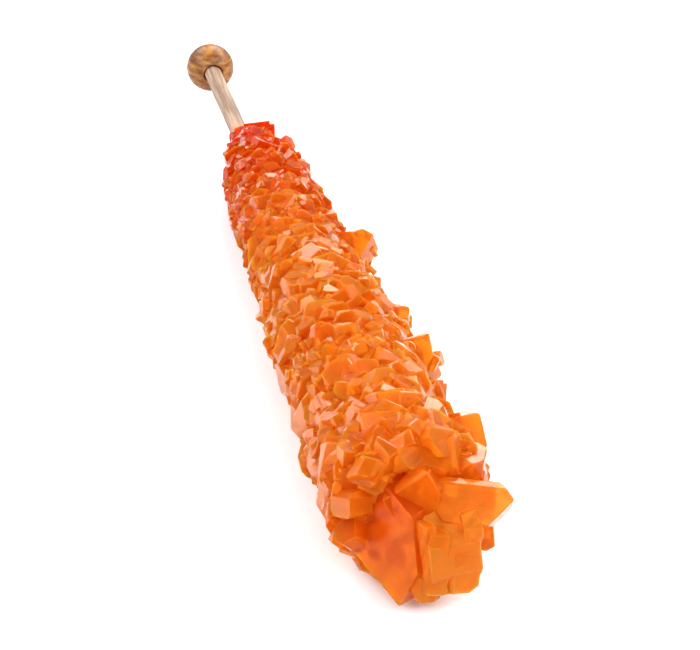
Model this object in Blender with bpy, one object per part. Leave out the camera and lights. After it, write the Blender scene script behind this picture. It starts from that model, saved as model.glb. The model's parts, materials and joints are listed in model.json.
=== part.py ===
"""Rock candy grown on a wooden stick with a ball end, lying on its side.

Everything is built in the stick's own frame: its origin is the centre of the ball, +X runs along the stick
to the candy's tip, and "round" angles are measured about X from the top (0 degrees) towards +Y (90 degrees).
One empty then lays that frame down, so that the candy rests on the plane z = 0.
"""

import math
import random

import bmesh
import bpy
from mathutils import Matrix, Quaternion, Vector

MM = 0.001

# Wood
BALL_DIAMETER = 7.8 * MM
DOWEL_DIAMETER = 2.7 * MM
DOWEL_FIRST = -0.4 * MM          # the dowel's end inside the ball
DOWEL_LAST = 152 * MM            # and its end inside the candy
FIT_GAP = 0.3 * MM               # between the dowel and what it is set in
WOOD_CHAMFER = 0.25 * MM
WOOD_SIDES = 20

# Candy: the envelope that its crystals reach out to
CANDY_START = 35 * MM
CANDY_END = 170 * MM
NECK_LENGTH = 34 * MM
NECK_BLUNTNESS = 0.1             # share of the neck's rounding that is already over at the start
NOSE_LENGTH = 11 * MM
RADIUS_AT_START = 6.5 * MM
RADIUS_AT_END = 11.2 * MM
OFF_CENTRE = 0.6 * MM            # the candy's centre line lies this far to one side of the stick's

# Core: the grown-together middle of the candy
CORE_SHARE = 0.76
CORE_SIDES = 12
CORE_STEP = 7 * MM
CORE_WALL = 0.8 * MM             # least thickness over the dowel's bore
CORE_UNEVENNESS = 0.08

# Crystals
FIRST_SEAT = 1.5 * MM            # distance of the first crystal from the candy's start
CRYSTAL_AT_START = 4.8 * MM
CRYSTAL_AT_END = 6.6 * MM
CRYSTAL_SPACING = 1.00           # distance between neighbours, as a share of their length
SWALLOWED = 1.6 * MM             # an ordinary crystal this near to a proud one is left out
CRYSTAL_SPREAD = (0.85, 1.15)    # least and most length, as a share of the ordinary
CRYSTAL_WIDTH = (0.62, 0.92)     # least and most, as a share of length
CRYSTAL_THICKNESS = (0.46, 0.72)
REACH = (0.86, 1.05)             # least and most, as a share of the envelope's radius
SEED = 8
GOLDEN_ANGLE = math.pi * (3 - math.sqrt(5))

# Sucrose crystals are monoclinic: one axis leans off square, and sloped faces cut their ends and edges
LEAN = math.radians(12.9)
END_SLOPE = math.radians(51)
EDGE_SLOPE = math.radians(46)
END_CUT = (0.38, 0.58)           # least and most distance of an end's slope from the centre, by length
EDGE_CUT = (0.40, 0.66)          # the same for an edge's slope, by width

# The crystals that stand out. Each has its centre (mm), the way its length runs, the way its broad face
# looks, its length, width and thickness (mm), and where its four sloped ends and two sloped edges are cut
BLUNT = (0.50, 0.54, 0.50, 0.54, 0.50, 0.52)
POINTED = (0.36, 0.40, 0.50, 0.50, 0.46, 0.50)
BLADE = (0.64, 0.36, 0.60, 0.60, 0.90, 0.90)
PROUD_CRYSTALS = [
    ((37, 2.2, 0.5), (0.2, 1, 0.1), (0.5, 0, 1), (5.5, 4.5, 4.0), BLUNT),
    ((88, 7.2, 2.4), (0.1, 1, 0.3), (0.6, -0.2, 1), (7.5, 5.0, 4.0), POINTED),
    ((110, 7.8, 1.0), (0.3, 1, 0.0), (0.3, -0.2, 1), (6.5, 4.5, 4.0), POINTED),
    ((129, 6.5, 3.6), (0.2, 1, 0.3), (0.6, -0.2, 1), (8.0, 6.0, 5.0), BLUNT),
    ((149, 7.4, 2.0), (0.1, 1, 0.2), (0.9, -0.1, 0.6), (9.5, 6.0, 6.0), BLUNT),
    ((165, 7.2, 2.0), (0.25, 1, -0.1), (0.8, -0.2, 0.7), (9.5, 5.5, 5.0), POINTED),
    ((153, -5.0, -1.0), (0.3, -1, -0.2), (0.6, 0.1, 1), (8.0, 6.0, 6.0), BLUNT),
    ((150, 1.0, 6.8), (0.8, 0.3, 0.5), (-0.3, 0.2, 1), (7.0, 6.0, 5.0), BLUNT),
    ((154, -6.0, 2.5), (0.5, -0.6, 0.6), (0.4, -0.6, 1), (6.5, 5.0, 4.5), BLUNT),
    ((157, -2.0, 6.2), (0.3, 0.6, 0.7), (0.8, -0.5, 0.5), (7.5, 6.0, 5.0), BLUNT),
    ((160, 2.6, 4.6), (0.6, 0.1, 0.8), (0.5, 0.8, 0.2), (7.5, 5.5, 4.5), BLUNT),
    ((161.6, -0.6, -0.4), (0.77, 0.45, -0.45), (0.54, -0.83, 0.09), (16, 11, 8), BLADE),
    ((164.0, 3.4, -2.2), (1, 0.1, 0.1), (0.1, 1, 0.1), (12, 9.5, 6.5), BLUNT),
]

# The floor is a plane this far below the stick's axis at two stations
FLOOR_NEAR = (60 * MM, 6.9 * MM)
FLOOR_FAR = (145 * MM, 9.6 * MM)
FLOOR_BOX = 400 * MM             # edge of the box that stands for all that is under it

SHARP_EDGE = math.radians(40)    # edges of the round pieces that turn more than this stay sharp
WELD = 0.001 * MM
ON_PLANE = 0.0001 * MM


def material(name, colour, roughness):
    shade = bpy.data.materials.new(name)
    shade.use_nodes = True
    surface = shade.node_tree.nodes["Principled BSDF"]
    surface.inputs["Base Color"].default_value = (*colour, 1)
    surface.inputs["Roughness"].default_value = roughness
    surface.inputs["Metallic"].default_value = 0
    return shade


def add_object(name, mesh, parent, shade=None):
    thing = bpy.data.objects.new(name, mesh)
    bpy.context.collection.objects.link(thing)
    thing.parent = parent
    if shade:
        mesh.materials.append(shade)
    return thing


def mesh_from(name, shape):
    bmesh.ops.recalc_face_normals(shape, faces=shape.faces)
    mesh = bpy.data.meshes.new(name)
    shape.to_mesh(mesh)
    shape.free()
    return mesh


def turned(name, profile, sides):
    """A closed solid of revolution about X from (station, radius) points that begin and end on the axis."""
    shape = bmesh.new()
    points = [shape.verts.new((station, 0, radius)) for station, radius in profile]
    edges = [shape.edges.new(pair) for pair in zip(points, points[1:])]
    bmesh.ops.spin(shape, geom=points + edges, axis=(1, 0, 0), cent=(0, 0, 0), angle=math.tau, steps=sides)
    bmesh.ops.remove_doubles(shape, verts=shape.verts, dist=WELD)
    return mesh_from(name, shape)


def cutter(name, mesh, parent):
    tool = add_object(name, mesh, parent)
    tool.hide_render = True
    tool.display_type = "WIRE"
    return tool


def boolean(target, operation, tool, self_overlap=False):
    step = target.modifiers.new(tool.name, "BOOLEAN")
    step.operation = operation
    step.object = tool
    step.solver = "EXACT"
    step.use_self = self_overlap


def smooth(mesh):
    mesh.shade_smooth()
    mesh.set_sharp_from_angle(angle=SHARP_EDGE)


# ---- wood ----

def make_ball(frame, shade):
    """A turned bead, drilled from the candy's side to take the dowel."""
    radius = BALL_DIAMETER / 2
    hole = DOWEL_DIAMETER / 2 + FIT_GAP
    mouth = hole + WOOD_CHAMFER
    first = math.asin(mouth / radius)
    arcs = WOOD_SIDES // 2
    sweep = [first + (math.pi - first) * step / arcs for step in range(arcs)]
    outside = [(radius * math.cos(turn), radius * math.sin(turn)) for turn in sweep] + [(-radius, 0)]
    bottom = DOWEL_FIRST - FIT_GAP
    inside = [(bottom, 0), (bottom, hole), (outside[0][0] - WOOD_CHAMFER, hole)]
    mesh = turned("ball", inside + outside, WOOD_SIDES)
    smooth(mesh)
    return add_object("ball", mesh, frame, shade)


def make_dowel(frame, shade):
    radius = DOWEL_DIAMETER / 2
    rim = radius - WOOD_CHAMFER
    profile = [
        (DOWEL_FIRST, 0), (DOWEL_FIRST, rim), (DOWEL_FIRST + WOOD_CHAMFER, radius),
        (DOWEL_LAST - WOOD_CHAMFER, radius), (DOWEL_LAST, rim), (DOWEL_LAST, 0),
    ]
    mesh = turned("stick", profile, WOOD_SIDES)
    smooth(mesh)
    return add_object("stick", mesh, frame, shade)


# ---- candy ----

def along(station):
    """0 at the candy's start and 1 at its end."""
    return (station - CANDY_START) / (CANDY_END - CANDY_START)


def round_off(share):
    """A quarter circle's rise from 0 to 1."""
    share = min(max(share, 0), 1)
    return math.sqrt(1 - (1 - share) ** 2)


def envelope(station):
    """The candy's overall radius: a straight taper with a rounded neck and a blunt nose."""
    taper = RADIUS_AT_START + (RADIUS_AT_END - RADIUS_AT_START) * along(station)
    neck = round_off(NECK_BLUNTNESS + (station - CANDY_START) / NECK_LENGTH)
    nose = round_off((CANDY_END - station) / NOSE_LENGTH)
    return taper * neck * nose


def centre(station):
    return Vector((station, OFF_CENTRE, 0))


def radial(turn):
    return Vector((0, math.sin(turn), math.cos(turn)))


def closed_edges(shape, ring):
    pairs = zip(ring, ring[1:] + ring[:1])
    return [shape.edges.get(pair) or shape.edges.new(pair) for pair in pairs]


def core_mesh(chance):
    """The turned core, with every point moved in or out a little."""
    shape = bmesh.new()
    steps = round((CANDY_END - NOSE_LENGTH - CANDY_START) / CORE_STEP)
    rings = []
    for step in range(steps + 1):
        station = CANDY_START + (CANDY_END - NOSE_LENGTH - CANDY_START) * step / steps
        least = DOWEL_DIAMETER / 2 + FIT_GAP + CORE_WALL
        radius = max(CORE_SHARE * envelope(station), least)
        ring = []
        for side in range(CORE_SIDES):
            turn = math.tau * (side + 0.5 * (step % 2)) / CORE_SIDES
            uneven = 1 + chance.uniform(0, CORE_UNEVENNESS)
            ring.append(shape.verts.new(centre(station) + radial(turn) * radius * uneven))
        rings.append(ring)
    for lower, upper in zip(rings, rings[1:]):
        bmesh.ops.bridge_loops(shape, edges=closed_edges(shape, lower) + closed_edges(shape, upper))
    bmesh.ops.contextual_create(shape, geom=rings[0])
    bmesh.ops.contextual_create(shape, geom=rings[-1])
    bmesh.ops.triangulate(shape, faces=shape.faces)
    return mesh_from("rock_candy", shape)


def slice_off(block, normal, distance):
    """Cut away what lies beyond the plane, and close the cut."""
    everything = block.verts[:] + block.edges[:] + block.faces[:]
    cut = bmesh.ops.bisect_plane(
        block, geom=everything, plane_co=normal * distance, plane_no=normal, clear_outer=True, dist=ON_PLANE
    )
    rim = [piece for piece in cut["geom_cut"] if isinstance(piece, bmesh.types.BMEdge)]
    if rim:
        bmesh.ops.edgeloop_fill(block, edges=rim)


def crystal(length, width, thickness, cuts):
    """One sucrose crystal about its own centre: long along Y, with wedge-shaped ends and two sloped edges.

    cuts holds the distance of the sloped faces from the centre: four ends as shares of the length, then two
    edges as shares of the width.
    """
    block = bmesh.new()
    bmesh.ops.create_cube(block, size=1)
    lean = Matrix(((1, 0, math.sin(LEAN), 0), (0, 1, 0, 0), (0, 0, math.cos(LEAN), 0), (0, 0, 0, 1)))
    size = Matrix.Diagonal((width, length, thickness, 1))
    bmesh.ops.transform(block, matrix=lean @ size, verts=block.verts)
    corners = [(side, end) for end in (1, -1) for side in (1, -1)]
    for (side, end), share in zip(corners, cuts[:4]):
        slope = Vector((side * math.cos(END_SLOPE), end * math.sin(END_SLOPE), 0))
        slice_off(block, slope, share * length)
    for side, share in zip((1, -1), cuts[4:]):
        slope = Vector((side * math.cos(EDGE_SLOPE), 0, -side * math.sin(EDGE_SLOPE)))
        slice_off(block, slope, share * width)
    return block


def plant(cluster, block, turn, place):
    """Turn a crystal, move its centre to its place and add it to the cluster."""
    bmesh.ops.transform(block, matrix=Matrix.Translation(place) @ turn.to_4x4(), verts=block.verts)
    grown = bpy.data.meshes.new("crystal")
    block.to_mesh(grown)
    block.free()
    cluster.from_mesh(grown)
    bpy.data.meshes.remove(grown)


def crystal_length(share):
    return CRYSTAL_AT_START + (CRYSTAL_AT_END - CRYSTAL_AT_START) * share


def side_seats():
    """Foot, outward direction and reach of each crystal round the sides, wound on by the golden angle."""
    station = CANDY_START + FIRST_SEAT
    turn = 0
    while station < CANDY_END - NOSE_LENGTH:
        yield centre(station), radial(turn), envelope(station), along(station)
        spacing = CRYSTAL_SPACING * crystal_length(along(station))
        station += spacing ** 2 / (math.tau * envelope(station))
        turn += GOLDEN_ANGLE


def nose_seats():
    """The same over the blunt end."""
    foot = centre(CANDY_END - NOSE_LENGTH)
    spacing = CRYSTAL_SPACING * crystal_length(1)
    count = round(math.tau * RADIUS_AT_END ** 2 / spacing ** 2)
    for number in range(count):
        climb = math.asin((number + 0.5) / count)
        outward = radial(number * GOLDEN_ANGLE) * math.cos(climb) + Vector((1, 0, 0)) * math.sin(climb)
        reach = 1 / math.hypot(math.cos(climb) / RADIUS_AT_END, math.sin(climb) / NOSE_LENGTH)
        yield foot, outward, reach, 1


def proud_turn(lengthwise, facing):
    """The rotation that lays a crystal's length and its broad face the way they are asked to point."""
    long_way = Vector(lengthwise).normalized()
    broad_way = (Vector(facing) - long_way * long_way.dot(Vector(facing))).normalized()
    return Matrix((long_way.cross(broad_way), long_way, broad_way)).transposed()


def swallowed(place):
    """Whether a proud crystal has grown over this place."""
    for middle, lengthwise, facing, (length, width, thickness), _ in PROUD_CRYSTALS:
        offset = proud_turn(lengthwise, facing).transposed() @ (place - Vector(middle) * MM)
        half = [edge * MM / 2 + SWALLOWED for edge in (width, length, thickness)]
        if all(abs(step) < limit for step, limit in zip(offset, half)):
            return True
    return False


def plant_seated(cluster, chance, foot, outward, reach, share):
    """A crystal of ordinary size at any angle, slid out until its farthest corner is at the envelope."""
    length = crystal_length(share) * chance.uniform(*CRYSTAL_SPREAD)
    width = length * chance.uniform(*CRYSTAL_WIDTH)
    thickness = length * chance.uniform(*CRYSTAL_THICKNESS)
    cuts = [chance.uniform(*END_CUT) for _ in range(4)] + [chance.uniform(*EDGE_CUT) for _ in range(2)]
    block = crystal(length, width, thickness, cuts)
    turn = Quaternion([chance.gauss(0, 1) for _ in range(4)]).normalized().to_matrix()
    proud = max((turn @ corner.co).dot(outward) for corner in block.verts)
    place = foot + outward * (reach * chance.uniform(*REACH) - proud)
    if not swallowed(place):
        plant(cluster, block, turn, place)


def plant_proud(cluster, place, lengthwise, facing, size, cuts):
    block = crystal(*(edge * MM for edge in size), cuts)
    plant(cluster, block, proud_turn(lengthwise, facing), Vector(place) * MM)


def crystals_mesh(chance):
    cluster = bmesh.new()
    for seat in [*side_seats(), *nose_seats()]:
        plant_seated(cluster, chance, *seat)
    for proud in PROUD_CRYSTALS:
        plant_proud(cluster, *proud)
    return mesh_from("crystals", cluster)


def floor_slope():
    """The angle between the stick's axis and the floor."""
    (near, near_depth), (far, far_depth) = FLOOR_NEAR, FLOOR_FAR
    return math.atan2(far_depth - near_depth, far - near)


def floor_cutter(frame):
    """A box that fills the space under the floor."""
    box = bmesh.new()
    bmesh.ops.create_cube(box, size=1)
    bmesh.ops.transform(box, matrix=Matrix.Scale(FLOOR_BOX, 4), verts=box.verts)
    bmesh.ops.translate(box, vec=(0, 0, -FLOOR_BOX / 2), verts=box.verts)
    tool = cutter("floor_cut", mesh_from("floor_cut", box), frame)
    tool.location = (FLOOR_NEAR[0], 0, -FLOOR_NEAR[1])
    tool.rotation_euler = (0, floor_slope(), 0)
    return tool


def bore_cutter(frame):
    radius = DOWEL_DIAMETER / 2 + FIT_GAP
    first = CANDY_START - NECK_LENGTH
    last = DOWEL_LAST + FIT_GAP
    profile = [(first, 0), (first, radius), (last, radius), (last, 0)]
    return cutter("bore", turned("bore", profile, WOOD_SIDES), frame)


def make_candy(frame, shade):
    """Core and crystals grown into one solid, bored for the dowel and trimmed flat where it rests."""
    chance = random.Random(SEED)
    candy = add_object("rock_candy", core_mesh(chance), frame, shade)
    crystals = cutter("crystals", crystals_mesh(chance), frame)
    boolean(candy, "UNION", crystals, self_overlap=True)
    boolean(candy, "DIFFERENCE", bore_cutter(frame))
    boolean(candy, "DIFFERENCE", floor_cutter(frame))
    return candy


def lay_down(frame, pieces):
    """Tilt the frame on to the floor, then move it until the middle of the whole is over the origin."""
    frame.rotation_euler = (0, -floor_slope(), 0)
    bpy.context.view_layer.update()
    depsgraph = bpy.context.evaluated_depsgraph_get()
    corners = []
    for piece in pieces:
        solid = piece.evaluated_get(depsgraph)
        corners += [solid.matrix_world @ vertex.co for vertex in solid.data.vertices]
    middle = [(min(axis) + max(axis)) / 2 for axis in zip(*corners)]
    floor = frame.matrix_world @ Vector((FLOOR_NEAR[0], 0, -FLOOR_NEAR[1]))
    frame.location = (-middle[0], -middle[1], -floor.z)


def main():
    for thing in list(bpy.data.objects):
        bpy.data.objects.remove(thing)
    frame = bpy.data.objects.new("stick_frame", None)
    bpy.context.collection.objects.link(frame)
    ball_wood = material("ball_wood", (0.45, 0.24, 0.10), 0.45)
    stick_wood = material("stick_wood", (0.62, 0.44, 0.30), 0.6)
    sugar = material("orange_sugar", (0.85, 0.20, 0.02), 0.2)
    lay_down(frame, [make_ball(frame, ball_wood), make_dowel(frame, stick_wood), make_candy(frame, sugar)])


main()
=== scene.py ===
import json
import math
import random

import bmesh
import bpy
from mathutils import Matrix, Quaternion, Vector

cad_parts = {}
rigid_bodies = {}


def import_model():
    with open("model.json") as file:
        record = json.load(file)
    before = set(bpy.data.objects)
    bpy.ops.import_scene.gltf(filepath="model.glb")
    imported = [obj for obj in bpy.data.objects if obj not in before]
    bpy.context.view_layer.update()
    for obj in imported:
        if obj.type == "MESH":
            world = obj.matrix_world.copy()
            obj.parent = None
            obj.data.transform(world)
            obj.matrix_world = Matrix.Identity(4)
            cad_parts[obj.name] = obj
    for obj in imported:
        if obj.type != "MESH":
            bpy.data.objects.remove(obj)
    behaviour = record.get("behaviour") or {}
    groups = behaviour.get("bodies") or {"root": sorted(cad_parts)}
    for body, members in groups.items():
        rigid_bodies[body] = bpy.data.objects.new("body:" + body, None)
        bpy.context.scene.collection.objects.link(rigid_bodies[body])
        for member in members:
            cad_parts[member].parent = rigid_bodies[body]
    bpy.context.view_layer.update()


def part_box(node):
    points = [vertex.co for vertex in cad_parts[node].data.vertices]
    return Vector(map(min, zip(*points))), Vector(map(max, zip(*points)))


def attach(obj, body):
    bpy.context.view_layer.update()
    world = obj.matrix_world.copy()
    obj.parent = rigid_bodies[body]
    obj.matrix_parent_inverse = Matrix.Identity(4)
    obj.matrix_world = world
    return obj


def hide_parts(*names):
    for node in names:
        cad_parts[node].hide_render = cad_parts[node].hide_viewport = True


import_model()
mm = 0.001

# Where things are: the stick's own frame has its origin at the ball's centre and +X along the dowel to the candy's
# tip. Turns about X are measured from the top towards +Y. It lies tilted, as the candy is thicker than the ball.
lying = {
    "nearStation": 60 * mm, "nearDepth": 6.9 * mm,      # the floor is this far under the dowel's axis here
    "farStation": 145 * mm, "farDepth": 9.6 * mm,       # and this far here
}
wood = {
    "ballDiameter": 7.8 * mm,
    "dowelDiameter": 2.7 * mm,
    "dowelFirst": -0.4 * mm,
    "dowelLast": 152 * mm,
    "chamfer": 0.25 * mm,
    "drillGap": 0.05 * mm,       # between the dowel and the ball's hole
    "ballSides": 72,
    "dowelSides": 48,
}


def stickFrame():
    rise = lying["farDepth"] - lying["nearDepth"]
    turn = Matrix.Rotation(-math.atan2(rise, lying["farStation"] - lying["nearStation"]), 4, "Y")
    low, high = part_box("stick")
    middle = Vector(((wood["dowelFirst"] + wood["dowelLast"]) / 2, 0, 0))
    return Matrix.Translation((low + high) / 2 - turn @ middle) @ turn


stick = stickFrame()


def linear(code):                # an sRGB hex value as a linear colour
    parts = [int(code[first:first + 2], 16) / 255 for first in (1, 3, 5)]
    return (*[part / 12.92 if part <= 0.04045 else ((part + 0.055) / 1.055) ** 2.4 for part in parts], 1)


def addNode(shade, kind, sockets=None, **settings):
    made = shade.node_tree.nodes.new("ShaderNode" + kind)
    for name, value in settings.items():
        setattr(made, name, value)
    for name, value in (sockets or {}).items():
        if isinstance(value, bpy.types.NodeSocket):
            shade.node_tree.links.new(value, made.inputs[name])
        else:
            made.inputs[name].default_value = value
    return made


def newMaterial(name):
    shade = bpy.data.materials.new(name)
    shade.use_nodes = True
    return shade, shade.node_tree.nodes["Principled BSDF"]


def setRamp(ramp, stops):        # stops are (place, colour) pairs
    points = ramp.color_ramp.elements
    while len(points) < len(stops):
        points.new(0.5)
    for point, (place, colour) in zip(points, stops):
        point.position = place
        point.color = colour


def connect(shade, surface, sockets):
    for name, value in sockets.items():
        shade.node_tree.links.new(value, surface.inputs[name])


def stickPlace(shade):           # texture coordinates in the stick's own frame
    place = addNode(shade, "TexCoord").outputs["Object"]
    return addNode(shade, "Mapping", {"Vector": place, "Location": stick.translation, "Rotation": stick.to_euler()},
                   vector_type="TEXTURE").outputs["Vector"]


def addPiece(name, mesh, shade, *nodes):
    mesh.transform(stick)
    piece = bpy.data.objects.new(name, mesh)
    bpy.context.collection.objects.link(piece)
    mesh.materials.clear()
    mesh.materials.append(shade)
    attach(piece, "root")
    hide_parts(*nodes)
    return piece


# ---------- wood ----------

def turnedMesh(name, profile, sides):
    shape = bmesh.new()
    points = [shape.verts.new((station, 0, radius)) for station, radius in profile]
    edges = [shape.edges.new(pair) for pair in zip(points, points[1:])]
    bmesh.ops.spin(shape, geom=points + edges, axis=(1, 0, 0), cent=(0, 0, 0), angle=math.tau, steps=sides)
    bmesh.ops.remove_doubles(shape, verts=shape.verts, dist=1e-6)
    bmesh.ops.recalc_face_normals(shape, faces=shape.faces)
    mesh = bpy.data.meshes.new(name)
    shape.to_mesh(mesh)
    shape.free()
    mesh.shade_smooth()
    mesh.set_sharp_from_angle(angle=math.radians(50))
    return mesh


def ballMesh():
    radius = wood["ballDiameter"] / 2
    hole = wood["dowelDiameter"] / 2 + wood["drillGap"]
    first = math.asin((hole + wood["chamfer"]) / radius)
    arcs = wood["ballSides"] // 2
    sweep = [first + (math.pi - first) * step / arcs for step in range(arcs)]
    outside = [(radius * math.cos(turn), radius * math.sin(turn)) for turn in sweep] + [(-radius, 0)]
    bottom = wood["dowelFirst"] - wood["drillGap"]
    lip = outside[0][0] - wood["chamfer"]
    return turnedMesh("ball", [(bottom, 0), (bottom, hole), (lip, hole)] + outside, wood["ballSides"])


def dowelMesh():
    radius = wood["dowelDiameter"] / 2
    first, last, chamfer = wood["dowelFirst"], wood["dowelLast"], wood["chamfer"]
    steps = 60
    sides = [(first + chamfer + (last - first - 2 * chamfer) * step / steps, radius) for step in range(steps + 1)]
    ends = [(first, 0), (first, radius - chamfer)], [(last, radius - chamfer), (last, 0)]
    return turnedMesh("dowel", ends[0] + sides + ends[1], wood["dowelSides"])


def birchDowel():
    # Birch, milled and left bare: pale beige with fine straight grain and a few darker pores, dull
    shade, surface = newMaterial("birch dowel, milled and bare")
    place = stickPlace(shade)
    along = addNode(shade, "Mapping", {"Vector": place, "Scale": (60, 1400, 1400)}).outputs["Vector"]   # 0.7 mm
    grain = addNode(shade, "TexNoise", {"Vector": along, "Scale": 1, "Detail": 5, "Roughness": 0.6})
    fine = addNode(shade, "Mapping", {"Vector": place, "Scale": (250, 4500, 4500)}).outputs["Vector"]   # 0.2 mm
    pores = addNode(shade, "TexNoise", {"Vector": fine, "Scale": 1, "Detail": 3, "Roughness": 0.7})
    tone = addNode(shade, "ValToRGB", {"Fac": grain.outputs["Fac"]})
    setRamp(tone, [(0.34, linear("#4a3423")), (0.47, linear("#7e624b")), (0.62, linear("#a98c73"))])
    dark = addNode(shade, "MapRange", {"Value": pores.outputs["Fac"], 1: 0.36, 2: 0.48, 3: 0.55, 4: 0.0})
    colour = addNode(shade, "Mix", {"Factor": dark.outputs[0], 6: tone.outputs["Color"], 7: linear("#8a6243")},
                     data_type="RGBA")
    syrup = addNode(shade, "SeparateXYZ", {"Vector": place}).outputs["X"]
    stained = addNode(shade, "MapRange", {"Value": syrup, 1: 0.030, 2: 0.036, 3: 0.0, 4: 0.75})
    colour = addNode(shade, "Mix", {"Factor": stained.outputs[0], 6: colour.outputs[2], 7: linear("#d8641e")},
                     data_type="RGBA")
    rough = addNode(shade, "MapRange", {"Value": grain.outputs["Fac"], 3: 0.68, 4: 0.5})
    bump = addNode(shade, "Bump", {"Height": pores.outputs["Fac"], "Strength": 0.35, "Distance": 0.00008})
    connect(shade, surface, {"Base Color": colour.outputs[2], "Roughness": rough.outputs[0],
                             "Normal": bump.outputs["Normal"]})
    return shade


def stainedBall():
    # Beech, turned and stained golden brown, then waxed: growth rings, darker on end grain, a soft shine
    shade, surface = newMaterial("beech ball, turned, stained and waxed")
    place = stickPlace(shade)
    ring = addNode(shade, "Mapping", {"Vector": place, "Rotation": (0.5, 0.3, 0.2), "Scale": (140, 700, 1600)})
    bands = addNode(shade, "TexNoise", {"Vector": ring.outputs["Vector"], "Scale": 1, "Detail": 4})
    tone = addNode(shade, "ValToRGB", {"Fac": bands.outputs["Fac"]})
    setRamp(tone, [(0.34, linear("#5a2e0c")), (0.50, linear("#7e4c1a")), (0.68, linear("#a06c2c"))])
    rough = addNode(shade, "MapRange", {"Value": bands.outputs["Fac"], 3: 0.5, 4: 0.34})
    bump = addNode(shade, "Bump", {"Height": bands.outputs["Fac"], "Strength": 0.3, "Distance": 0.0001})
    surface.inputs["Specular IOR Level"].default_value = 0.3
    connect(shade, surface, {"Base Color": tone.outputs["Color"], "Roughness": rough.outputs[0],
                             "Normal": bump.outputs["Normal"]})
    return shade


ball = addPiece("ball_turned", ballMesh(), stainedBall(), "ball")
dowel = addPiece("dowel_grained", dowelMesh(), birchDowel(), "stick")
print("wood: ball and dowel turned")

# ---------- candy ----------

candy = {
    "seed": 8,
    "start": 35 * mm, "end": 170 * mm,
    "neckLength": 34 * mm, "neckBluntness": 0.1, "noseLength": 11 * mm,
    "radiusAtStart": 6.5 * mm, "radiusAtEnd": 11.2 * mm, "offCentre": 0.6 * mm,
    "coreShare": 0.80, "coreSides": 12, "coreStep": 7 * mm, "coreWall": 0.8 * mm, "coreUnevenness": 0.08,
    "firstSeat": 1.5 * mm, "crystalAtStart": 4.8 * mm, "crystalAtEnd": 6.6 * mm, "spacing": 1.0,
    "swallowed": 1.6 * mm,
    "spread": (0.85, 1.15), "width": (0.62, 0.92), "thickness": (0.46, 0.72), "reach": (0.86, 1.05),
    "lean": math.radians(12.9), "endSlope": math.radians(51), "edgeSlope": math.radians(46),
    "endCut": (0.38, 0.58), "edgeCut": (0.40, 0.66),
    "edgeSoftness": 0.16 * mm,   # real crystals' edges are a little dissolved
    "boreGap": 0.02 * mm,
    "tipTints": {-2: -0.5, -1: 2.4},     # the last two that stand out: a deep orange one and a paler one
    "tipSteps": {-2: 0, -1: 9, -8: 0},          # the deep one's large face is bare, the paler one's are broken up
}
goldenAngle = math.pi * (3 - math.sqrt(5))

# The crystals that stand out: centre (mm), the way the length runs, the way the broad face looks, length, width and
# thickness (mm), and where the four sloped ends and two sloped edges are cut, as shares of length and width
blunt = (0.50, 0.54, 0.50, 0.54, 0.50, 0.52)
pointed = (0.36, 0.40, 0.50, 0.50, 0.46, 0.50)
blade = (0.64, 0.36, 0.60, 0.60, 0.90, 0.90)
shouldered = (0.43, 0.54, 0.50, 0.54, 0.50, 0.52)
proudCrystals = [
    ((37, 2.2, 0.5), (0.2, 1, 0.1), (0.5, 0, 1), (5.5, 4.5, 4.0), blunt),
    ((88, 7.2, 2.4), (0.1, 1, 0.3), (0.6, -0.2, 1), (7.5, 5.0, 4.0), pointed),
    ((110, 7.8, 1.0), (0.3, 1, 0.0), (0.3, -0.2, 1), (6.5, 4.5, 4.0), pointed),
    ((129, 6.5, 3.6), (0.2, 1, 0.3), (0.6, -0.2, 1), (8.0, 6.0, 5.0), blunt),
    ((149, 7.4, 2.0), (0.1, 1, 0.2), (0.9, -0.1, 0.6), (9.5, 6.0, 6.0), blunt),
    ((165, 7.2, 2.0), (0.25, 1, -0.1), (0.8, -0.2, 0.7), (9.5, 5.5, 5.0), pointed),
    ((153, -5.0, -1.0), (0.3, -1, -0.2), (0.6, 0.1, 1), (8.0, 6.0, 6.0), blunt),
    ((150, 1.0, 6.8), (0.8, 0.3, 0.5), (-0.3, 0.2, 1), (7.0, 6.0, 5.0), blunt),
    ((154, -6.0, 2.5), (0.5, -0.6, 0.6), (0.4, -0.6, 1), (6.5, 5.0, 4.5), blunt),
    ((157, -2.0, 6.2), (0.3, 0.6, 0.7), (0.8, -0.5, 0.5), (7.5, 6.0, 5.0), blunt),
    ((160, 2.6, 4.6), (0.6, 0.1, 0.8), (0.5, 0.8, 0.2), (7.5, 5.5, 4.5), blunt),
    ((161.6, -0.6, -0.4), (0.77, 0.45, -0.45), (0.54, -0.83, 0.09), (16, 11, 8), blade),
    ((164.0, 3.4, -2.2), (1, 0.1, 0.1), (0.1, 1, 0.1), (12, 9.5, 6.5), shouldered),
]
bareOne = -2                     # the one of these whose large face has nothing grown on it
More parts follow.
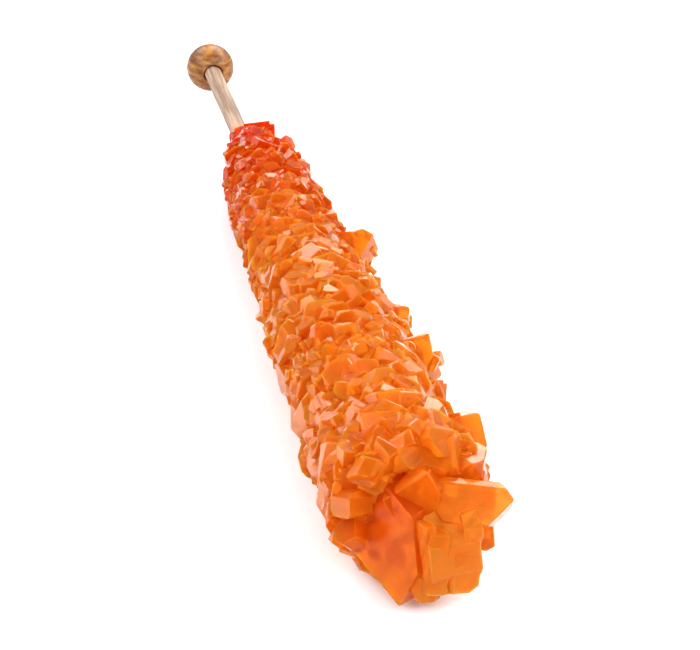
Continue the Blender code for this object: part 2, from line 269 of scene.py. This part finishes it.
# Thin upright blades in the seam between the two at the tip, and crystals that break up their faces
seamCrystals = [
    ((168.4, 0.7, -2.6), (0.1, 0, 1), (1, 0.1, 0), (9.0, 1.5, 2.2), blunt),
    ((168.2, 2.5, -3.0), (0.05, 0, 1), (1, 0, 0), (8.0, 1.2, 1.8), blunt),
    ((168.5, 1.6, -3.2), (0.0, 0.05, 1), (1, -0.10, 0.02), (8.0, 2.8, 3.0), blunt),
    ((168.7, 4.9, -4.6), (0.03, 0.1, 1), (1, 0.14, -0.08), (5.2, 3.4, 2.6), blunt),
    ((166.6, 5.4, 0.6), (0.2, 1, 0.1), (0.8, 0, 0.6), (4.6, 3.6, 3.2), blunt),
    ((164.2, 0.4, 3.4), (0.2, 0.8, 0.6), (1, -0.3, 0.4), (6.5, 4.6, 4.0), blunt),
    ((161.6, -3.2, 5.0), (0.5, -0.6, 0.6), (0.7, -0.5, 0.6), (5.5, 4.2, 3.6), blunt),
    ((166.7, 0.6, -6.6), (1, 0.08, -0.15), (0.1, 0.05, 1), (4.8, 3.4, 3.8), blunt),
    ((166.9, 2.8, -6.0), (1, 0.04, -0.08), (0.1, -0.12, 1), (4.6, 2.8, 3.2), blunt),
]
# Small crystals over the inner end of the bare face, as shares of the bare crystal's length and width
ledge = {"seed": 5, "count": 26, "size": (2.8 * mm, 5.2 * mm), "lengthwise": (-0.52, -0.14), "across": (-0.5, 0.5)}
# Small crystals that fill the clefts and sit on the larger ones
grains = {
    "seed": 21,
    "fillers": 1900, "fillerReach": (0.86, 0.985),
    "fillerAtStart": (1.5 * mm, 3.0 * mm), "fillerAtEnd": (3.0 * mm, 5.6 * mm),
    "crumbs": 1700, "crumbSize": (1.1 * mm, 2.6 * mm),
    "neckEnd": 50 * mm, "neckKept": 0.35,            # fewer on the neck, which has larger faces
    "edgeSoftness": 0.09 * mm,
    "bareMargin": 1.3 * mm, "bareFrom": -0.14,       # kept this far off the bare face, past this share of its length
}
# Blocks grown side by side with a crystal, turned almost the same way, which step its faces
steps = {
    "seed": 34,
    "each": 2, "eachProud": 4,           # how many are tried on a crystal
    "flanks": 0.35,                      # the share that stands out sideways
    "size": (0.35, 0.75),                # as a share of the crystal's own length, width and thickness
    "rise": (0.02, 0.10),                # how far one stands out of a face, as a share of the thickness
    "tilt": math.radians(5),
}


def along(station):              # 0 at the candy's start, 1 at its end
    return (station - candy["start"]) / (candy["end"] - candy["start"])


def roundOff(share):
    share = min(max(share, 0), 1)
    return math.sqrt(1 - (1 - share) ** 2)


def envelope(station):           # the candy's overall radius: a taper with a rounded neck and a blunt nose
    taper = candy["radiusAtStart"] + (candy["radiusAtEnd"] - candy["radiusAtStart"]) * along(station)
    neck = roundOff(candy["neckBluntness"] + (station - candy["start"]) / candy["neckLength"])
    nose = roundOff((candy["end"] - station) / candy["noseLength"])
    return taper * neck * nose


def coreRadius(station):
    least = wood["dowelDiameter"] / 2 + 0.3 * mm + candy["coreWall"]
    return max(candy["coreShare"] * envelope(station), least)


def centreLine(station):
    return Vector((station, candy["offCentre"], 0))


def radial(turn):
    return Vector((0, math.sin(turn), math.cos(turn)))


def finishMesh(name, shape):
    bmesh.ops.recalc_face_normals(shape, faces=shape.faces)
    mesh = bpy.data.meshes.new(name)
    shape.to_mesh(mesh)
    shape.free()
    return mesh


def coreMesh(chance):            # the grown-together middle, every point moved in or out a little
    shape = bmesh.new()
    length = candy["end"] - candy["noseLength"] - candy["start"]
    steps = round(length / candy["coreStep"])
    rings = []
    for step in range(steps + 1):
        station = candy["start"] + length * step / steps
        ring = []
        for side in range(candy["coreSides"]):
            turn = math.tau * (side + 0.5 * (step % 2)) / candy["coreSides"]
            uneven = 1 + chance.uniform(0, candy["coreUnevenness"])
            ring.append(shape.verts.new(centreLine(station) + radial(turn) * coreRadius(station) * uneven))
        rings.append(ring)
    for lower, upper in zip(rings, rings[1:]):
        pairs = [*zip(lower, lower[1:] + lower[:1]), *zip(upper, upper[1:] + upper[:1])]
        edges = [shape.edges.get(pair) or shape.edges.new(pair) for pair in pairs]
        bmesh.ops.bridge_loops(shape, edges=edges)
    bmesh.ops.contextual_create(shape, geom=rings[0])
    bmesh.ops.contextual_create(shape, geom=rings[-1])
    bmesh.ops.triangulate(shape, faces=shape.faces)
    tint = shape.faces.layers.float.new("tint")
    across = shape.faces.layers.float_vector.new("across")
    for face in shape.faces:
        face[tint] = 0.3
        face[across] = (1, 0, 0)
    return finishMesh("core", shape)


def sliceOff(block, normal, distance):
    everything = block.verts[:] + block.edges[:] + block.faces[:]
    cut = bmesh.ops.bisect_plane(
        block, geom=everything, plane_co=normal * distance, plane_no=normal, clear_outer=True, dist=0.0001 * mm
    )
    rim = [piece for piece in cut["geom_cut"] if isinstance(piece, bmesh.types.BMEdge)]
    if rim:
        bmesh.ops.edgeloop_fill(block, edges=rim)


def crystalBlock(length, width, thickness, cuts):    # a sucrose crystal: leaning, with wedge ends and sloped edges
    block = bmesh.new()
    bmesh.ops.create_cube(block, size=1)
    lean = candy["lean"]
    leaning = Matrix(((1, 0, math.sin(lean), 0), (0, 1, 0, 0), (0, 0, math.cos(lean), 0), (0, 0, 0, 1)))
    bmesh.ops.transform(block, matrix=leaning @ Matrix.Diagonal((width, length, thickness, 1)), verts=block.verts)
    ends = [(side, end) for end in (1, -1) for side in (1, -1)]
    for (side, end), share in zip(ends, cuts[:4]):
        slope = Vector((side * math.cos(candy["endSlope"]), end * math.sin(candy["endSlope"]), 0))
        sliceOff(block, slope, share * length)
    for side, share in zip((1, -1), cuts[4:]):
        slope = Vector((side * math.cos(candy["edgeSlope"]), 0, -side * math.sin(candy["edgeSlope"])))
        sliceOff(block, slope, share * width)
    return block


def crystalLength(share):
    return candy["crystalAtStart"] + (candy["crystalAtEnd"] - candy["crystalAtStart"]) * share


def randomTurn(chance):
    return Quaternion([chance.gauss(0, 1) for _ in range(4)]).normalized().to_matrix()


def proudTurn(lengthwise, facing):
    longWay = Vector(lengthwise).normalized()
    broadWay = (Vector(facing) - longWay * longWay.dot(Vector(facing))).normalized()
    return Matrix((longWay.cross(broadWay), longWay, broadWay)).transposed()


def swallowed(place):            # whether a crystal that stands out has grown over this place
    for middle, lengthwise, facing, (length, width, thickness), _ in proudCrystals:
        offset = proudTurn(lengthwise, facing).transposed() @ (place - Vector(middle) * mm)
        half = [edge * mm / 2 + candy["swallowed"] for edge in (width, length, thickness)]
        if all(abs(step) < limit for step, limit in zip(offset, half)):
            return True
    return False


def onBareFace(place):
    middle, lengthwise, facing, (length, width, thickness), _ = proudCrystals[bareOne]
    offset = proudTurn(lengthwise, facing).transposed() @ (place - Vector(middle) * mm)
    half = [edge * mm / 2 + grains["bareMargin"] for edge in (width, length, thickness)]
    inside = all(abs(step) < limit for step, limit in zip(offset, half))
    return inside and offset.y > grains["bareFrom"] * length * mm


def sideSeats():                 # wound round the sides by the golden angle
    station, turn = candy["start"] + candy["firstSeat"], 0
    while station < candy["end"] - candy["noseLength"]:
        yield centreLine(station), radial(turn), envelope(station), along(station)
        spacing = candy["spacing"] * crystalLength(along(station))
        station += spacing ** 2 / (math.tau * envelope(station))
        turn += goldenAngle


def noseSeats():
    foot = centreLine(candy["end"] - candy["noseLength"])
    spacing = candy["spacing"] * crystalLength(1)
    count = round(math.tau * candy["radiusAtEnd"] ** 2 / spacing ** 2)
    for number in range(count):
        climb = math.asin((number + 0.5) / count)
        outward = radial(number * goldenAngle) * math.cos(climb) + Vector((1, 0, 0)) * math.sin(climb)
        reach = 1 / math.hypot(math.cos(climb) / candy["radiusAtEnd"], math.sin(climb) / candy["noseLength"])
        yield foot, outward, reach, 1


def seatedCrystal(chance, foot, outward, reach, share):      # slid out until its farthest corner is at the reach
    length = crystalLength(share) * chance.uniform(*candy["spread"])
    width = length * chance.uniform(*candy["width"])
    thickness = length * chance.uniform(*candy["thickness"])
    cuts = [chance.uniform(*candy["endCut"]) for _ in range(4)] + [chance.uniform(*candy["edgeCut"]) for _ in range(2)]
    block = crystalBlock(length, width, thickness, cuts)
    turn = randomTurn(chance)
    proud = max((turn @ corner.co).dot(outward) for corner in block.verts)
    place = foot + outward * (reach * chance.uniform(*candy["reach"]) - proud)
    return block, turn, place, (length, width, thickness)


class Cluster:                   # crystals waiting to be grown together, each with its faces' planes
    def __init__(self):
        self.parts = bpy.data.collections.new("crystals")
        self.solids = []
        self.perches = []
        self.sized = []

    def plant(self, block, turn, place, softness, tint, size=None, stepped=0):
        if stepped:
            self.sized.append((place, turn, size, tint, stepped))
        bmesh.ops.transform(block, matrix=Matrix.Translation(place) @ turn.to_4x4(), verts=block.verts)
        block.normal_update()
        planes = [(face.normal.copy(), face.normal.dot(face.verts[0].co)) for face in block.faces]
        self.solids.append((place, planes, max((corner.co - place).length for corner in block.verts)))
        if stepped:
            self.perches.append((place, planes))
        bmesh.ops.bevel(block, geom=block.edges[:], offset=softness, segments=1, affect="EDGES", clamp_overlap=True)
        shade = block.faces.layers.float.new("tint")
        across = block.faces.layers.float_vector.new("across")
        for face in block.faces:
            face[shade] = tint
            face[across] = turn.col[0]
        piece = bpy.data.objects.new("crystal", finishMesh("crystal", block))
        self.parts.objects.link(piece)

    def buried(self, point, depth):      # whether the point is this deep inside any crystal
        for place, planes, radius in self.solids:
            if (point - place).length < radius and all(way.dot(point) < far - depth for way, far in planes):
                return True
        return False


def grain(chance, size):
    width = size * chance.uniform(0.6, 0.95)
    thickness = size * chance.uniform(0.5, 0.8)
    cuts = [chance.uniform(*candy["endCut"]) for _ in range(4)] + [chance.uniform(*candy["edgeCut"]) for _ in range(2)]
    return crystalBlock(size, width, thickness, cuts), randomTurn(chance)


def inBox(points, low, high):
    return all(low[axis] <= point[axis] <= high[axis] for point in points for axis in range(3))


def candyBox():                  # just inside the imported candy's box; what is under the floor is trimmed later
    low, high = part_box("rock_candy")
    return low + Vector((1, 1, -60)) * 0.05 * mm, high - Vector((1, 1, 1)) * 0.05 * mm


def plantSteps(cluster):
    chance = random.Random(steps["seed"])
    low, high = candyBox()
    kept = 0
    for place, turn, size, tint, stepped in list(cluster.sized):
        length, width, thickness = size
        for number in range(stepped):
            share = [chance.uniform(*steps["size"]) for _ in range(3)]
            flank = chance.random() < steps["flanks"]
            side = chance.choice((-1, 1))
            rise = chance.uniform(*steps["rise"]) * thickness
            across = chance.uniform(-0.5, 0.5) * (1 - share[1]) * width
            upright = chance.uniform(-0.5, 0.5) * (1 - share[2]) * thickness
            if flank:
                across = side * (width * (1 - share[1]) / 2 + rise)
            else:
                upright = side * (thickness * (1 - share[2]) / 2 + rise)
            lengthwise = chance.uniform(-0.6, 0.6) * (1 - share[0]) * length
            cuts = [chance.uniform(*candy["endCut"]) for _ in range(4)] + [chance.uniform(0.55, 0.8) for _ in range(2)]
            block = crystalBlock(length * share[0], width * share[1], thickness * share[2], cuts)
            axis = Vector([chance.gauss(0, 1) for _ in range(3)])
            own = turn @ Matrix.Rotation(chance.gauss(0, 1) * steps["tilt"], 3, axis)
            middle = place + turn @ Vector((across, lengthwise, upright))
            corners = [stick @ (middle + own @ corner.co) for corner in block.verts]
            if not inBox(corners, low, high):
                block.free()
                continue
            softness = min(candy["edgeSoftness"], 0.05 * length * min(share))
            cluster.plant(block, own, middle, softness, min(max(tint + chance.uniform(-0.2, 0.2), 0), 1))
            kept += 1
    print("candy:", kept, "blocks that step its faces")


def filler(chance):              # between the large crystals, out to nearly as far as they reach
    share = chance.random() ** 0.85
    station = candy["start"] + share * (candy["end"] - 0.7 * candy["noseLength"] - candy["start"])
    bounds = [start + (end - start) * share ** 2 for start, end in zip(grains["fillerAtStart"], grains["fillerAtEnd"])]
    size = chance.uniform(*bounds)
    outward = radial(chance.uniform(0, math.tau))
    block, turn = grain(chance, size)
    proud = max((turn @ corner.co).dot(outward) for corner in block.verts)
    reach = envelope(station) * chance.uniform(*grains["fillerReach"])
    return block, turn, centreLine(station) + outward * (reach - proud), size


def crumb(chance, large):        # on the faces of larger ones
    size = chance.uniform(*grains["crumbSize"])
    middle, planes = large[chance.randrange(len(large))]
    way = Vector([chance.gauss(0, 1) for _ in range(3)]).normalized()
    reach = min((far - normal.dot(middle)) / normal.dot(way) for normal, far in planes if normal.dot(way) > 0.01)
    block, turn = grain(chance, size)
    return block, turn, middle + way * (reach + chance.uniform(-0.25, 0.05) * size), size


def plantGrains(cluster):
    chance = random.Random(grains["seed"])
    low, high = candyBox()
    large = list(cluster.perches)
    kept = 0
    for number in range(grains["fillers"] + grains["crumbs"]):
        block, turn, place, size = filler(chance) if number < grains["fillers"] else crumb(chance, large)
        tint = chance.random()
        luck = chance.random()
        corners = [stick @ (place + turn @ corner.co) for corner in block.verts]
        if place.x < grains["neckEnd"] and luck > grains["neckKept"]:
            block.free()
            continue
        if number >= grains["fillers"] and luck < along(place.x) ** 3:
            block.free()
            continue
        if cluster.buried(place, 0.3 * size) or onBareFace(place) or not inBox(corners, low, high):
            block.free()
            continue
        cluster.plant(block, turn, place, grains["edgeSoftness"], tint)
        kept += 1
    print("candy:", kept, "small crystals of", grains["fillers"] + grains["crumbs"])


def plantLedge(cluster):
    chance = random.Random(ledge["seed"])
    low, high = candyBox()
    middle, lengthwise, facing, (length, width, thickness), _ = proudCrystals[bareOne]
    own = proudTurn(lengthwise, facing)
    for _ in range(ledge["count"]):
        size = chance.uniform(*ledge["size"])
        across = chance.uniform(*ledge["across"]) * width * mm
        along = chance.uniform(*ledge["lengthwise"]) * length * mm
        upright = thickness * mm / 2 - chance.uniform(0.1, 0.4) * size
        block, turn = grain(chance, size)
        place = Vector(middle) * mm + own @ Vector((across, along, upright))
        if inBox([stick @ (place + turn @ corner.co) for corner in block.verts], low, high):
            cluster.plant(block, turn, place, grains["edgeSoftness"], chance.random())
        else:
            block.free()


def boxMesh(low, high):
    shape = bmesh.new()
    bmesh.ops.create_cube(shape, size=1)
    size = high - low
    bmesh.ops.transform(shape, matrix=Matrix.Translation((low + high) / 2) @ Matrix.Diagonal((*size, 1)),
                        verts=shape.verts)
    return finishMesh("box", shape)


def addBoolean(target, operation, tool=None, parts=None):
    step = target.modifiers.new(operation, "BOOLEAN")
    step.operation = operation
    step.solver = "MANIFOLD"
    if parts:
        step.operand_type = "COLLECTION"
        step.collection = parts
    else:
        step.object = tool


def grownTogether(core, cluster):
    bpy.context.scene.collection.children.link(cluster.parts)
    whole = bpy.data.objects.new("whole", core)
    floor = bpy.data.objects.new("floorCut", boxMesh(Vector((-0.3, -0.3, -0.3)), Vector((0.3, 0.3, 0))))
    floor.matrix_world = stick.inverted()
    radius = wood["dowelDiameter"] / 2 + candy["boreGap"]
    first, last = candy["start"] - 5 * mm, wood["dowelLast"] + candy["boreGap"]
    bore = bpy.data.objects.new(
        "bore", turnedMesh("bore", [(first, 0), (first, radius), (last, radius), (last, 0)], wood["dowelSides"])
    )
    for thing in (whole, floor, bore):
        bpy.context.collection.objects.link(thing)
    bpy.context.view_layer.update()
    addBoolean(whole, "UNION", parts=cluster.parts)
    addBoolean(whole, "DIFFERENCE", floor)
    addBoolean(whole, "DIFFERENCE", bore)
    depsgraph = bpy.context.evaluated_depsgraph_get()
    mesh = bpy.data.meshes.new_from_object(whole.evaluated_get(depsgraph), preserve_all_data_layers=True,
                                           depsgraph=depsgraph)
    for thing in [whole, floor, bore, *cluster.parts.objects]:
        bpy.data.objects.remove(thing)
    bpy.data.collections.remove(cluster.parts)
    return mesh


def keepOuterSkin(mesh):         # drops the pockets sealed between crystals and any loose speck
    shape = bmesh.new()
    shape.from_mesh(mesh)
    shape.verts.index_update()
    seen = set()
    skins = []
    for first in shape.verts:
        if first.index in seen:
            continue
        seen.add(first.index)
        skin = []
        waiting = [first]
        while waiting:
            corner = waiting.pop()
            skin.append(corner)
            for edge in corner.link_edges:
                other = edge.other_vert(corner)
                if other.index not in seen:
                    seen.add(other.index)
                    waiting.append(other)
        skins.append(skin)
    outer = max(skins, key=len)
    for skin in skins:
        if skin is not outer:
            bmesh.ops.delete(shape, geom=skin, context="VERTS")
    shape.to_mesh(mesh)
    shape.free()


# Stores how far out each corner stands. The sugar's colour uses it as painted shade: darker in the clefts, paler at
# the outermost corners.
def depthAttribute(mesh):        # 0 in the deepest clefts, 1 at the outermost corners
    depth = mesh.attributes.new("proudness_for_painted_shade", "FLOAT", "POINT")
    for number, corner in enumerate(mesh.vertices):
        station = min(max(corner.co.x, candy["start"]), candy["end"] - candy["noseLength"])
        away = corner.co - centreLine(station)
        share = away.length / envelope(station)
        depth.data[number].value = (share - 0.72) / 0.33


def candyMesh():
    chance = random.Random(candy["seed"])
    tints = random.Random(candy["seed"] + 1)
    core = coreMesh(chance)
    cluster = Cluster()
    for seat in [*sideSeats(), *noseSeats()]:
        block, turn, place, size = seatedCrystal(chance, *seat)
        if swallowed(place):
            block.free()
        else:
            cluster.plant(block, turn, place, candy["edgeSoftness"], tints.random(), size, steps["each"])
    for number, (place, lengthwise, facing, size, cuts) in enumerate(proudCrystals):
        size = [edge * mm for edge in size]
        block = crystalBlock(*size, cuts)
        turn = proudTurn(lengthwise, facing)
        tint = candy["tipTints"].get(number - len(proudCrystals), tints.random())
        stepped = candy["tipSteps"].get(number - len(proudCrystals), steps["eachProud"])
        cluster.plant(block, turn, Vector(place) * mm, candy["edgeSoftness"], tint, size, stepped)
    for place, lengthwise, facing, size, cuts in seamCrystals:
        block = crystalBlock(*(edge * mm for edge in size), cuts)
        cluster.plant(block, proudTurn(lengthwise, facing), Vector(place) * mm, candy["edgeSoftness"], tints.random())
    print("candy:", len(cluster.solids), "large crystals")
    plantSteps(cluster)
    plantLedge(cluster)
    plantGrains(cluster)
    mesh = grownTogether(core, cluster)
    keepOuterSkin(mesh)
    depthAttribute(mesh)
    mesh.name = "rockCandy"
    print("candy:", len(mesh.polygons), "faces")
    return mesh


def orangeSugar():
    # Sugar crystals grown slowly from orange syrup: clear and shiny on their faces. Painted shade in the colour:
    # deeper and redder in the clefts, paler towards the outermost corners, with a random tone for each crystal
    shade, surface = newMaterial("orange rock sugar, grown from syrup")
    place = stickPlace(shade)
    tint = addNode(shade, "Attribute", attribute_name="tint").outputs["Fac"]
    # Proudness is 0 in the clefts and 1 at the outermost corners; here it paints shade into the colour
    proud = addNode(shade, "Attribute", attribute_name="proudness_for_painted_shade").outputs["Fac"]
    cloud = addNode(shade, "TexNoise", {"Vector": place, "Scale": 260, "Detail": 4, "Roughness": 0.55})    # 4 mm
    crumb = addNode(shade, "TexNoise", {"Vector": place, "Scale": 900, "Detail": 3, "Roughness": 0.6})     # 1 mm
    clouded = addNode(shade, "Math", {0: cloud.outputs["Fac"], 1: 0.5, 2: -0.05}, operation="MULTIPLY_ADD")
    # Painted shade: the colour darkens towards the clefts and pales towards the outermost corners, with a random cloud
    # on top
    cleftShadeAndCloud = addNode(shade, "Math", {0: proud, 1: 0.32, 2: clouded.outputs[0]}, operation="MULTIPLY_ADD")
    station = addNode(shade, "SeparateXYZ", {"Vector": place}).outputs["X"]
    light = addNode(shade, "Math", {0: tint, 1: 0.30, 2: cleftShadeAndCloud.outputs[0]}, operation="MULTIPLY_ADD")
    tone = addNode(shade, "ValToRGB", {"Fac": light.outputs[0]})
    # The ramp runs from the deep red-orange of the painted cleft shade to the pale orange of the outer corners
    setRamp(tone, [(0.05, linear("#cc4a08")), (0.35, linear("#da680e")), (0.65, linear("#e07e1a")),
                   (0.95, linear("#e49034"))])
    neck = addNode(shade, "MapRange", {"Value": station, 1: 0.046, 2: 0.092, 3: 1.0, 4: 0.0})
    colour = addNode(shade, "Mix", {"Factor": neck.outputs[0], 6: tone.outputs["Color"], 7: linear("#c62e02")},
                     data_type="RGBA")
    rough = addNode(shade, "MapRange", {"Value": crumb.outputs["Fac"], 1: 0.3, 2: 0.7, 3: 0.09, 4: 0.21})
    across = addNode(shade, "Attribute", attribute_name="across").outputs["Vector"]
    measured = addNode(shade, "VectorMath", {0: place, 1: across}, operation="DOT_PRODUCT")
    lines = addNode(shade, "TexNoise", {"W": measured.outputs["Value"], "Scale": 1800, "Detail": 3, "Roughness": 0.65},
                    noise_dimensions="1D")                                                             # 0.6 mm
    height = addNode(shade, "Math", {0: lines.outputs["Fac"], 1: 0.45, 2: crumb.outputs["Fac"]},
                     operation="MULTIPLY_ADD")
    bump = addNode(shade, "Bump", {"Height": height.outputs[0], "Strength": 0.4, "Distance": 0.0001})
    swell = addNode(shade, "TexNoise", {"Vector": place, "Scale": 330, "Detail": 1})                       # 3 mm
    bump = addNode(shade, "Bump", {"Height": swell.outputs["Fac"], "Strength": 0.15, "Distance": 0.0004,
                                   "Normal": bump.outputs["Normal"]})
    surface.inputs["IOR"].default_value = 1.38
    surface.inputs["Specular IOR Level"].default_value = 0.12
    surface.inputs["Specular Tint"].default_value = linear("#ff9a50")
    surface.inputs["Subsurface Weight"].default_value = 0.85
    surface.inputs["Subsurface Radius"].default_value = (1.0, 0.45, 0.15)
    surface.inputs["Subsurface Scale"].default_value = 6 * mm
    surface.inputs["Transmission Weight"].default_value = 0.70
    connect(shade, surface, {"Base Color": colour.outputs[2], "Roughness": rough.outputs[0],
                             "Normal": bump.outputs["Normal"]})
    return shade


rockCandy = addPiece("rock_candy_grown", candyMesh(), orangeSugar(), "rock_candy")
print("candy: grown together")

# ---------- floor, light and camera ----------

studio = {
    "floorColour": "#e4e4e4",
    "floorSize": 3.0,
    "skyColour": "#e2ecff", "skyStrength": 0.35,
    "cameraPlace": Vector((380.2, -65.5, 184.0)) * mm,
    "cameraAim": Vector((23.5, 1.86, 8.0)) * mm,
    "lens": 154.3,
}
lamps = {                        # a ring of small soft lamps, so that faces turned every way find one to glint in
    "count": 7, "ringRadius": 0.62, "height": 0.48, "size": 0.42, "power": 3.05,
    "strongest": 0.35, "extra": 0.55,     # the turn of the strongest one, in whole turns, and what it adds
}


def floorMaterial():
    # White laminate, smooth and dull: it only catches the soft shadow
    shade, surface = newMaterial("white laminate, matt")
    place = addNode(shade, "TexCoord").outputs["Object"]
    cloud = addNode(shade, "TexNoise", {"Vector": place, "Scale": 3, "Detail": 2})
    rough = addNode(shade, "MapRange", {"Value": cloud.outputs["Fac"], 3: 0.75, 4: 0.85})
    surface.inputs["Base Color"].default_value = linear(studio["floorColour"])
    surface.inputs["Specular IOR Level"].default_value = 0.2
    connect(shade, surface, {"Roughness": rough.outputs[0]})
    return shade


def makeFloor():
    half = studio["floorSize"] / 2
    mesh = boxMesh(Vector((-half, -half, -0.01)), Vector((half, half, -0.00005)))
    floor = bpy.data.objects.new("floor", mesh)
    bpy.context.collection.objects.link(floor)
    mesh.materials.append(floorMaterial())


def makeLights():
    world = bpy.data.worlds.new("studio")
    world.use_nodes = True
    sky = world.node_tree.nodes["Background"]
    sky.inputs["Color"].default_value = linear(studio["skyColour"])
    sky.inputs["Strength"].default_value = studio["skyStrength"]
    bpy.context.scene.world = world
    for number in range(lamps["count"]):
        turn = number / lamps["count"]
        lamp = bpy.data.lights.new("lamp", "AREA")
        lamp.shape = "DISK"
        lamp.size = lamps["size"]
        nearness = 0.5 + 0.5 * math.cos(math.tau * (turn - lamps["strongest"]))
        lamp.energy = lamps["power"] * (1 + lamps["extra"] * nearness ** 3)
        holder = bpy.data.objects.new("lamp", lamp)
        bpy.context.collection.objects.link(holder)
        place = Vector((lamps["ringRadius"] * math.cos(math.tau * turn), lamps["ringRadius"] * math.sin(math.tau * turn),
                        lamps["height"]))
        holder.location = place
        holder.rotation_euler = (-place).to_track_quat("-Z", "Y").to_euler()


def makeCamera():
    lens = bpy.data.cameras.new("camera")
    lens.lens = studio["lens"]
    lens.clip_start = 0.01
    camera = bpy.data.objects.new("camera", lens)
    bpy.context.collection.objects.link(camera)
    camera.location = studio["cameraPlace"]
    aim = studio["cameraAim"] - studio["cameraPlace"]
    camera.rotation_euler = aim.to_track_quat("-Z", "Y").to_euler()
    bpy.context.scene.camera = camera


makeFloor()
makeLights()
makeCamera()
bpy.context.scene.view_settings.view_transform = "Standard"
print("studio: floor, lights and camera")
